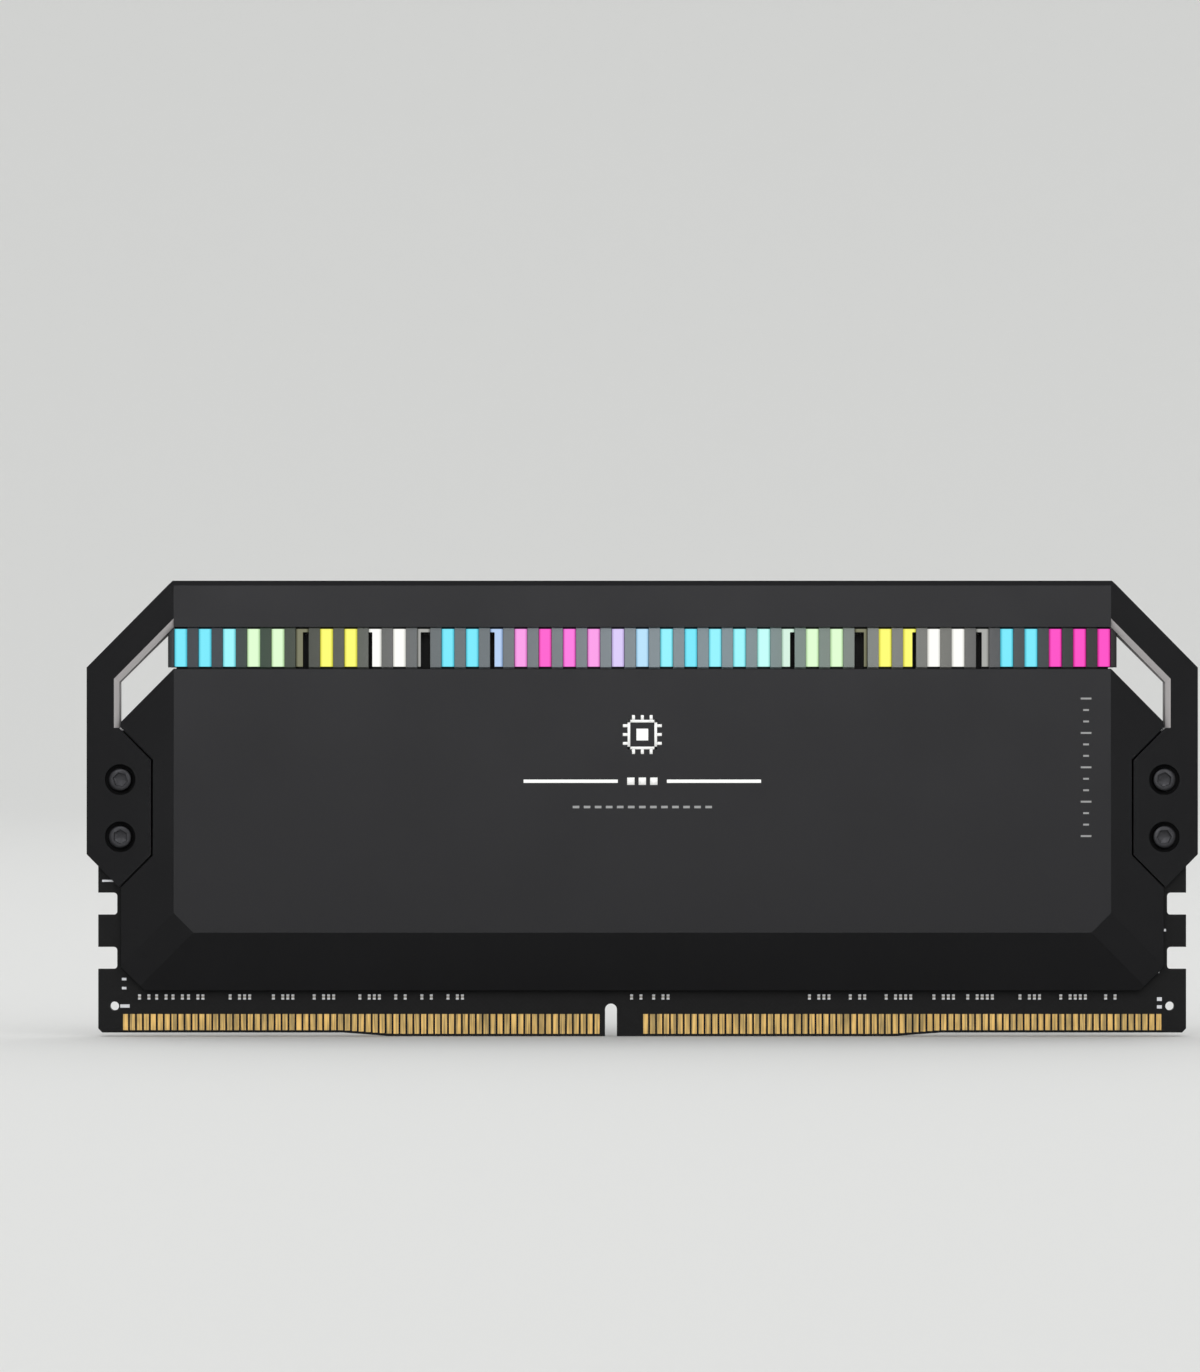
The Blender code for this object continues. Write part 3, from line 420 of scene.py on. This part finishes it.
def makeBoard():
    shape = cadCopy("circuit_board")
    edge = boardLook["halfThickness"] + boardLook["slack"]

    def boardFinish(centre, normal, face):
        if abs(centre.y) > edge and centre.z < boardLook["contactTop"]:
            return 1
        return 2 if abs(normal.y) < 0.5 and abs(centre.y) < edge else 0

    finishes = [solderMask(), goldPlate(), laminateEdge()]
    finishPiece("circuitBoard", shape, finishes, ["circuit_board"], boardFinish)


# Small parts soldered above the contacts: a ceramic body between two tinned ends
smallPart = {"frontFrom": 0.8 * mm, "endCap": 0.17 * mm, "proud": 0.012 * mm, "padSunk": 0.02 * mm,
             "padRise": 0.05 * mm}
# Bare tinned pads elsewhere on the front: centre X and Z, width and height, all in mm
tinnedPads = [(-63.5, 7.0, 0.55, 0.3), (-63.5, 5.9, 0.55, 0.3), (-63.4, 3.7, 1.15, 0.4),
              (-65.5, 19.05, 1.4, 0.25), (64.0, 13.0, 0.4, 0.3), (63.2, 7.9, 0.4, 0.3),
              (63.4, 4.55, 0.6, 0.45), (63.4, 3.6, 0.6, 0.4)]


def tinnedCopper():  # solder melted over copper: a soft grey shine with a slight orange-peel
    made, tree, shader, place = newMaterial("tinned copper", "#b4b5b8", 0.5, 0.8)
    addGrain(tree, shader, place, 0.08, 0.004)
    return made


def firedCeramic():  # matt and warm grey, with a very fine even grain
    made, tree, shader, place = newMaterial("fired ceramic", "#98938a", 0.6, Specular_IOR_Level=0.3)
    addGrain(tree, shader, place, 0.06, 0.003)
    return made


def makeSmallParts():
    blocks = cadCopy("circuit_board")
    fronts = [face for face in blocks.faces  # only the small parts stand this far forward
              if face.normal.y < -0.9 and face.calc_center_median().y < -smallPart["frontFrom"]]
    shape = bmesh.new()
    tinned = []
    near = -boardLook["halfThickness"]
    proud, cap = smallPart["proud"], smallPart["endCap"]
    for front in fronts:
        xs = [vert.co.x for vert in front.verts]
        zs = [vert.co.z for vert in front.verts]
        far = front.calc_center_median().y
        low, high = (min(xs), far, min(zs)), (max(xs), near, max(zs))
        addBox(shape, (low[0] - proud, far - proud, low[2]), (high[0] + proud, near, high[2]))
        for foot, top in ((low[2] - proud, low[2] + cap), (high[2] - cap, high[2] + proud)):
            tinned += addBox(shape, (low[0] - 2 * proud, far - 2 * proud, foot),
                             (high[0] + 2 * proud, near, top))
    blocks.free()
    for x, z, width, height in tinnedPads:
        low = ((x - width / 2) * mm, near - smallPart["padSunk"], (z - height / 2) * mm)
        high = ((x + width / 2) * mm, near + smallPart["padRise"], (z + height / 2) * mm)
        tinned += addBox(shape, low, high)
    for face in {face for vert in tinned for face in vert.link_faces}:
        face.material_index = 1
    finishPiece("boardSmallParts", shape, [firedCeramic(), tinnedCopper()])


makeBoard()
makeSmallParts()
print("board made")


# Fin strips: dark moulded fins with painted light: a painted reflection brightens the middle and fades to the
# ends, and the ribs' glow is painted in as a tint in places.
# Each tone stands at its share of the strip's length
finToneWithPaintedHighlight = [(0.0, "#121213"), (0.008, "#3c4044"), (0.06, "#3b3f45"), (0.1, "#38463b"), (0.15, "#484a44"),
            (0.2, "#575a54"), (0.24, "#656565"), (0.3, "#61696c"), (0.4, "#6e7277"), (0.5, "#798287"),
            (0.6, "#77858a"), (0.68, "#727f78"), (0.75, "#777976"), (0.82, "#6e6e6a"), (0.86, "#575758"),
            (0.9, "#42484b"), (0.95, "#313534"), (0.992, "#2d2a2b"), (1.0, "#101011")]


def finsWithPaintedHighlight():
    made, tree, shader, place = newMaterial("smoke-grey polycarbonate", "#3a3b3d", 0.35,
                                            Specular_IOR_Level=0.12)
    split = addNode(tree, "ShaderNodeSeparateXYZ", links={"Vector": place})
    along = addNode(tree, "ShaderNodeMapRange", {"From Min": finLow.x, "From Max": finHigh.x},
                    {"Value": split.outputs["X"]})
    # the painted reflection and the painted glow run along the strip's length
    addTones(tree, shader, along.outputs["Result"], finToneWithPaintedHighlight)
    addGrain(tree, shader, place, 0.4, 0.003)
    return made


# Light bar: milky acrylic. Each rib is lit in one colour of a slow run along the bar
ribPalette = {
    "cyan": "#7aeafc", "ice": "#9ef7fe", "mint": "#e0fed2", "dimLemon": "#7e7e66", "yellow": "#fffc74",
    "white": "#fffffa", "dimWhite": "#a9aaa6", "powder": "#b7d1f4", "pink": "#fb9fe9", "magenta": "#ff63cf",
    "orchid": "#ff7ce1", "lavender": "#dcccfa", "sky": "#b9e2fb", "aqua": "#94f3ff", "pale": "#c3fff9",
    "celadon": "#d6f2e1", "hotPink": "#fe50c7",
}
ribRun = """cyan cyan ice mint mint dimLemon yellow yellow white white dimWhite cyan cyan powder pink magenta
orchid pink lavender sky aqua cyan aqua ice pale celadon mint mint dimLemon yellow yellow white white dimWhite
cyan cyan hotPink hotPink hotPink""".split()
ribLook = {"pitch": 2.969 * mm, "half": 0.75 * mm, "slack": 0.02 * mm, "sideSlack": 0.08 * mm,
           "backOfRib": 2.4 * mm, "glow": 0.95, "softEdgeMm": 0.07, "softFrom": 2.6 * mm,
           "unlitShare": 0.05, "deepPower": 1.5, "deepShare": 0.6, "fallOff": (0.25, 0.34, 0.66, 0.75)}
slotLook = {"leastWall": 15 * mm * mm, "outermost": 50 * mm, "topFrom": 48 * mm, "topTo": 50.5 * mm,
            "wallTop": 49.6 * mm, "lip": 0.19 * mm, "lipHalf": 0.5 * mm, "sunk": 0.02 * mm}
finEdges = {"widthMm": 0.06, "from": 3.2 * mm}


def litAcrylic(name, colour):  # the core glows, and the sides fall off to a deeper tone
    made, tree, shader, place = newMaterial("lit acrylic " + name, colour, 0.4, Specular_IOR_Level=0.1)
    core = linear(colour)
    shader.inputs["Base Color"].default_value = tuple(ribLook["unlitShare"] * c for c in core[:3]) + (1,)
    pitch = ribLook["pitch"]
    split = addNode(tree, "ShaderNodeSeparateXYZ", links={"Vector": place})
    shifted = addNode(tree, "ShaderNodeMath", {1: pitch / 2}, {0: split.outputs["X"]}, operation="ADD")
    wrapped = addNode(tree, "ShaderNodeMath", {1: pitch}, {0: shifted.outputs[0]}, operation="FLOORED_MODULO")
    across = addNode(tree, "ShaderNodeMapRange", {"From Min": 0.0, "From Max": pitch},
                     {"Value": wrapped.outputs[0]})
    deep = tuple(c ** ribLook["deepPower"] * ribLook["deepShare"] for c in core[:3]) + (1,)
    ramp = addNode(tree, "ShaderNodeValToRGB", links={"Fac": across.outputs["Result"]})
    for _ in range(2):
        ramp.color_ramp.elements.new(0.5)
    stops = zip(ribLook["fallOff"], (deep, core, core, deep))
    for element, (position, tone) in zip(ramp.color_ramp.elements, stops):
        element.position = position
        element.color = tone
    tree.links.new(ramp.outputs["Color"], shader.inputs["Emission Color"])
    shader.inputs["Emission Strength"].default_value = ribLook["glow"]
    return made


def slotOpenings(shape):  # left wall, right wall and top of each slot that takes a tab of the board
    middles = [(face, face.calc_center_median()) for face in shape.faces]
    walls = sorted(at.x for face, at in middles if abs(face.normal.x) > 0.9
                   and face.calc_area() > slotLook["leastWall"] and abs(at.x) < slotLook["outermost"])
    tops = [at.z for face, at in middles
            if face.normal.z < -0.9 and slotLook["topFrom"] < at.z < slotLook["topTo"]]
    return [(left, right, min(tops)) for left, right in zip(walls[::2], walls[1::2])]


def isRibSide(x):  # the walls of the slots below the light bar lie elsewhere than the ribs' own sides
    pitch = ribLook["pitch"]
    return abs(abs((x + pitch / 2) % pitch - pitch / 2) - ribLook["half"]) < ribLook["sideSlack"]


def addLips(shape, openings):  # thin lips close the play round each tab, so no light passes through
    lip, half, sunk = slotLook["lip"], slotLook["lipHalf"], slotLook["sunk"]
    for left, right, top in openings:
        addBox(shape, (left - sunk, -half, lightLow.z), (left + lip, half, top + sunk))
        addBox(shape, (right - lip, -half, lightLow.z), (right + sunk, half, top + sunk))
        addBox(shape, (left + lip, -half, top - lip), (right - lip, half, top + sunk))


def makeLightBar():
    names = list(ribPalette)
    middleRib = len(ribRun) // 2
    # the acrylic's unlit body, slot walls and lips are painted dark: painted shade
    shaded, tree, shader, place = newMaterial("shaded acrylic", "#1f2022", 0.5, Specular_IOR_Level=0.1)
    addGrain(tree, shader, place, 0.5, 0.003)
    finishes = [shaded] + [litAcrylic(name, ribPalette[name]) for name in names]
    shape = cadCopy("light_bar")
    openings = slotOpenings(shape)
    softenEdges(shape, ribLook["softEdgeMm"],
                keep=lambda edge: all(abs(v.co.y) > ribLook["softFrom"] for v in edge.verts))
    addLips(shape, openings)

    def ribFinish(centre, normal, face):
        number = round(centre.x / ribLook["pitch"])
        aside = abs(centre.x - number * ribLook["pitch"])
        onRib = abs(centre.y) > ribLook["backOfRib"] and aside < ribLook["half"] + ribLook["slack"]
        # slot walls take the dark acrylic: painted shade inside the slots
        inSlot = abs(normal.x) > 0.9 and centre.z < slotLook["wallTop"] and not isRibSide(centre.x)
        return names.index(ribRun[number + middleRib]) + 1 if onRib and not inSlot else 0

    finishPiece("lightBar", shape, finishes, ["light_bar"], ribFinish)


fins = finsWithPaintedHighlight()
for word in ("front", "rear"):
    shape = cadCopy(word + "_fin_strip")
    softenEdges(shape, finEdges["widthMm"],
                keep=lambda edge: all(abs(v.co.y) > finEdges["from"] for v in edge.verts))
    finishPiece(word + "FinStrip", shape, [fins], [word + "_fin_strip"])
makeLightBar()
print("light strip made")


# Printed marks: plain shapes in white and grey ink, with no lettering
def printInk(name, colour):  # dries flat and opaque, so it stays even where the metal beside it shades
    made, tree, shader, place = newMaterial(name, colour, 0.55)
    addGrain(tree, shader, place, 0.12, 0.003)
    return made


# All in mm; X runs from the middle of the module and Z from the foot of the contact edge
markLook = {"white": "#f2f2f0", "grey": "#8d8d8d", "proud": 0.004, "sunk": 0.02,
            "signZ": 37.0, "signSize": 3.6, "ruleZ": (31.1, 31.5), "ruleX": (3.0, 14.5),
            "squareZ": (30.85, 31.75), "squarePitch": 1.4, "squareHalf": 0.45,
            "dashZ": (28.0, 28.3), "dashPitch": 1.35, "dashHalf": 0.4, "dashes": 13,
            "scaleX": 54.2, "scaleFoot": 24.6, "tickPitch": 1.4, "tickHalf": 0.11, "ticks": 13,
            "longTick": 0.65, "shortTick": 0.35}


signShares = {"pin": 0.16, "wall": 0.09, "core": 0.2, "pinHalf": 0.05, "pinPitch": 0.3}  # of the sign's size


def chipSign(centreZ, size):  # a square chip outline with pins and a solid core
    half, pin, wall = size / 2, size * signShares["pin"], size * signShares["wall"]
    core, thin = size * signShares["core"], size * signShares["pinHalf"]
    blocks = [(-half, centreZ - half, half, centreZ - half + wall),
              (-half, centreZ + half - wall, half, centreZ + half),
              (-half, centreZ - half, -half + wall, centreZ + half),
              (half - wall, centreZ - half, half, centreZ + half),
              (-core, centreZ - core, core, centreZ + core)]
    for step in (-1, 0, 1):
        along = step * size * signShares["pinPitch"]
        blocks += [(along - thin, centreZ + half, along + thin, centreZ + half + pin),
                   (along - thin, centreZ - half - pin, along + thin, centreZ - half),
                   (half, centreZ + along - thin, half + pin, centreZ + along + thin),
                   (-half - pin, centreZ + along - thin, -half, centreZ + along + thin)]
    return blocks


def rowOfBlocks(count, pitch, half, low, high):  # equal blocks side by side about the middle
    middles = [(number - (count - 1) / 2) * pitch for number in range(count)]
    return [(x - half, low, x + half, high) for x in middles]


def makeMarks():
    look = markLook
    white = printInk("white pad-printed ink", look["white"])
    grey = printInk("grey pad-printed ink", look["grey"])
    (inner, outer), (foot, top) = look["ruleX"], look["ruleZ"]
    rule = [(-outer, foot, -inner, top), (inner, foot, outer, top)]
    rule += rowOfBlocks(3, look["squarePitch"], look["squareHalf"], *look["squareZ"])
    scale = []
    for number in range(look["ticks"]):
        z = look["scaleFoot"] + number * look["tickPitch"]
        half = look["longTick"] if number % 3 == 0 else look["shortTick"]
        low, high = z - look["tickHalf"], z + look["tickHalf"]
        scale.append((look["scaleX"] - half, low, look["scaleX"] + half, high))
    dashes = rowOfBlocks(look["dashes"], look["dashPitch"], look["dashHalf"], *look["dashZ"])
    marks = {
        "chipSign": (chipSign(look["signZ"], look["signSize"]), white),
        "whiteRule": (rule, white),
        "greyDashes": (dashes, grey),
        "greyScale": (scale, grey),
    }
    near, far = -faceDepth - look["proud"] * mm, -faceDepth + look["sunk"] * mm
    for name, (blocks, ink) in marks.items():
        shape = bmesh.new()
        for x0, z0, x1, z1 in blocks:
            addBox(shape, (x0 * mm, near, z0 * mm), (x1 * mm, far, z1 * mm))
        finishPiece(name, shape, [ink])


makeMarks()
print("marks made")


# Inner pieces keep their shape and get a finish: colour, roughness, metallic, grain and its depth in mm
innerLook = {
    "moulded epoxy": ("#1f1f21", 0.55, 0.0, 0.1, 0.006),  # dull black with the tooth of the mould
    "thermal silicone": ("#8b8f96", 0.85, 0.0, 0.6, 0.02),  # soft, chalky and quite without shine
    "turned brass": ("#c9a25e", 0.3, 1.0, 0.1, 0.003),  # warm and bright from the lathe
    "pressed ferrite": ("#3b3b3d", 0.6, 0.0, 0.12, 0.01),  # grey and gritty, like slate
    "white lamp housing": ("#e8e6df", 0.45, 0.0, 0.3, 0.004),  # smooth moulded white, a little glossy
}
innerPieces = {  # how the names of the pieces of each finish begin
    "moulded epoxy": ("dram", "power_c", "serial", "light_con"),
    "thermal silicone": ("front_thermal", "rear_thermal", "power_t"),
    "turned brass": ("threaded",),
    "pressed ferrite": ("inductor",),
    "white lamp housing": ("led_",),
}


def makeInnerFinishes():
    for finish, (colour, roughness, metallic, grainMm, depthMm) in innerLook.items():
        made, tree, shader, place = newMaterial(finish, colour, roughness, metallic)
        addGrain(tree, shader, place, grainMm, depthMm)
        for name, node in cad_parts.items():
            if name.startswith(innerPieces[finish]):
                node.data.materials.clear()
                node.data.materials.append(made)


makeInnerFinishes()
print("inner pieces finished")


# Stage: a pale round sweep, soft light and a level camera square to the front
stageLook = {"paper": "#e6e6e4", "grainMm": 1.5, "depthMm": 0.02, "floorRadius": 1.65, "curve": 1.0,
             "height": 1.2, "sides": 64, "floorRings": 6, "curveRings": 16}
middle = (0, 0, 0.04)
softboxes = {  # place, target, size in metres, radiance
    "frontSoftbox": ((0, -1.9, 0.5), (0, 0, 0.1), (1.0, 0.95), 5.3),
    "rearSoftbox": ((0, 1.9, 0.5), (0, 0, 0.1), (1.0, 0.95), 5.3),
    "overheadSoftbox": ((0, 0, 1.9), middle, (2.2, 2.2), 0.7),
    "leftSoftbox": ((-1.7, 0, 0.6), middle, (0.9, 0.8), 1.2),
    "rightSoftbox": ((1.7, 0, 0.6), middle, (0.9, 0.8), 1.2),
    "frontLeftFill": ((-1.3, -1.3, 0.6), middle, (0.9, 0.9), 1.1),  # fills light views across corners
    "rearLeftFill": ((-1.3, 1.3, 0.6), middle, (0.9, 0.9), 1.6),
    "frontRightFill": ((1.3, -1.3, 0.6), middle, (0.9, 0.9), 1.1),
    "rearRightFill": ((1.3, 1.3, 0.6), middle, (0.9, 0.9), 1.6),
}
roomLight = {"colour": "#f4f5f6", "strength": 0.86}
cameraLook = {"lens": 200, "sensor": 36, "x": -0.00517, "distance": 0.931, "z": 0.04293,
              "nearest": 0.01, "farthest": 50}


def makeStage():
    look = stageLook
    floorRings, curveRings = look["floorRings"], look["curveRings"]
    turns = [math.pi / 2 * step / curveRings for step in range(curveRings + 1)]
    profile = [(look["floorRadius"] * step / floorRings, 0.0) for step in range(1, floorRings)]
    profile += [(look["floorRadius"] + look["curve"] * math.sin(t), look["curve"] * (1 - math.cos(t)))
                for t in turns]
    profile.append((look["floorRadius"] + look["curve"], look["height"]))
    shape = bmesh.new()
    around = [2 * math.pi * step / look["sides"] for step in range(look["sides"])]
    rings = [[shape.verts.new((r * math.cos(t), r * math.sin(t), z)) for t in around] for r, z in profile]
    centre = shape.verts.new((0, 0, 0))
    for step in range(look["sides"]):
        after = (step + 1) % look["sides"]
        shape.faces.new((centre, rings[0][step], rings[0][after]))
        for inner, outer in zip(rings, rings[1:]):
            shape.faces.new((inner[step], outer[step], outer[after], inner[after]))
    paper, tree, shader, place = newMaterial("matt backdrop paper", look["paper"], 0.9)
    addGrain(tree, shader, place, look["grainMm"], look["depthMm"])
    sweep = finishPiece("sweep", shape, [paper], ride=False)
    backdrop = bpy.data.collections.new("backdrop")  # the softboxes at the module's height skip the paper
    backdrop.objects.link(sweep)
    backdrop.collection_objects[0].light_linking.link_state = "EXCLUDE"
    return backdrop


def makeLights(backdrop):
    for name, (place, target, size, radiance) in softboxes.items():
        lamp = bpy.data.lights.new(name, "AREA")
        lamp.shape = "RECTANGLE"
        lamp.size, lamp.size_y = size
        lamp.energy = radiance * math.pi * size[0] * size[1]
        holder = bpy.data.objects.new(name, lamp)
        holder.location = place
        holder.rotation_euler = (Vector(target) - Vector(place)).to_track_quat("-Z", "Y").to_euler()
        holder.visible_camera = False
        if name != "overheadSoftbox":
            holder.light_linking.receiver_collection = backdrop
        bpy.context.scene.collection.objects.link(holder)
    world = bpy.data.worlds.new("studio")
    world.use_nodes = True
    background = world.node_tree.nodes["Background"]
    background.inputs["Color"].default_value = linear(roomLight["colour"])
    background.inputs["Strength"].default_value = roomLight["strength"]
    bpy.context.scene.world = world


def makeCamera():
    lens = bpy.data.cameras.new("camera")
    lens.lens = cameraLook["lens"]
    lens.sensor_width = cameraLook["sensor"]
    lens.clip_start, lens.clip_end = cameraLook["nearest"], cameraLook["farthest"]
    holder = bpy.data.objects.new("camera", lens)
    holder.location = (cameraLook["x"], -cameraLook["distance"] - faceDepth, cameraLook["z"])
    holder.rotation_euler = (math.pi / 2, 0, 0)
    bpy.context.scene.collection.objects.link(holder)
    bpy.context.scene.camera = holder


makeLights(makeStage())
makeCamera()
bpy.context.scene.view_settings.view_transform = "Standard"
print("stage set")
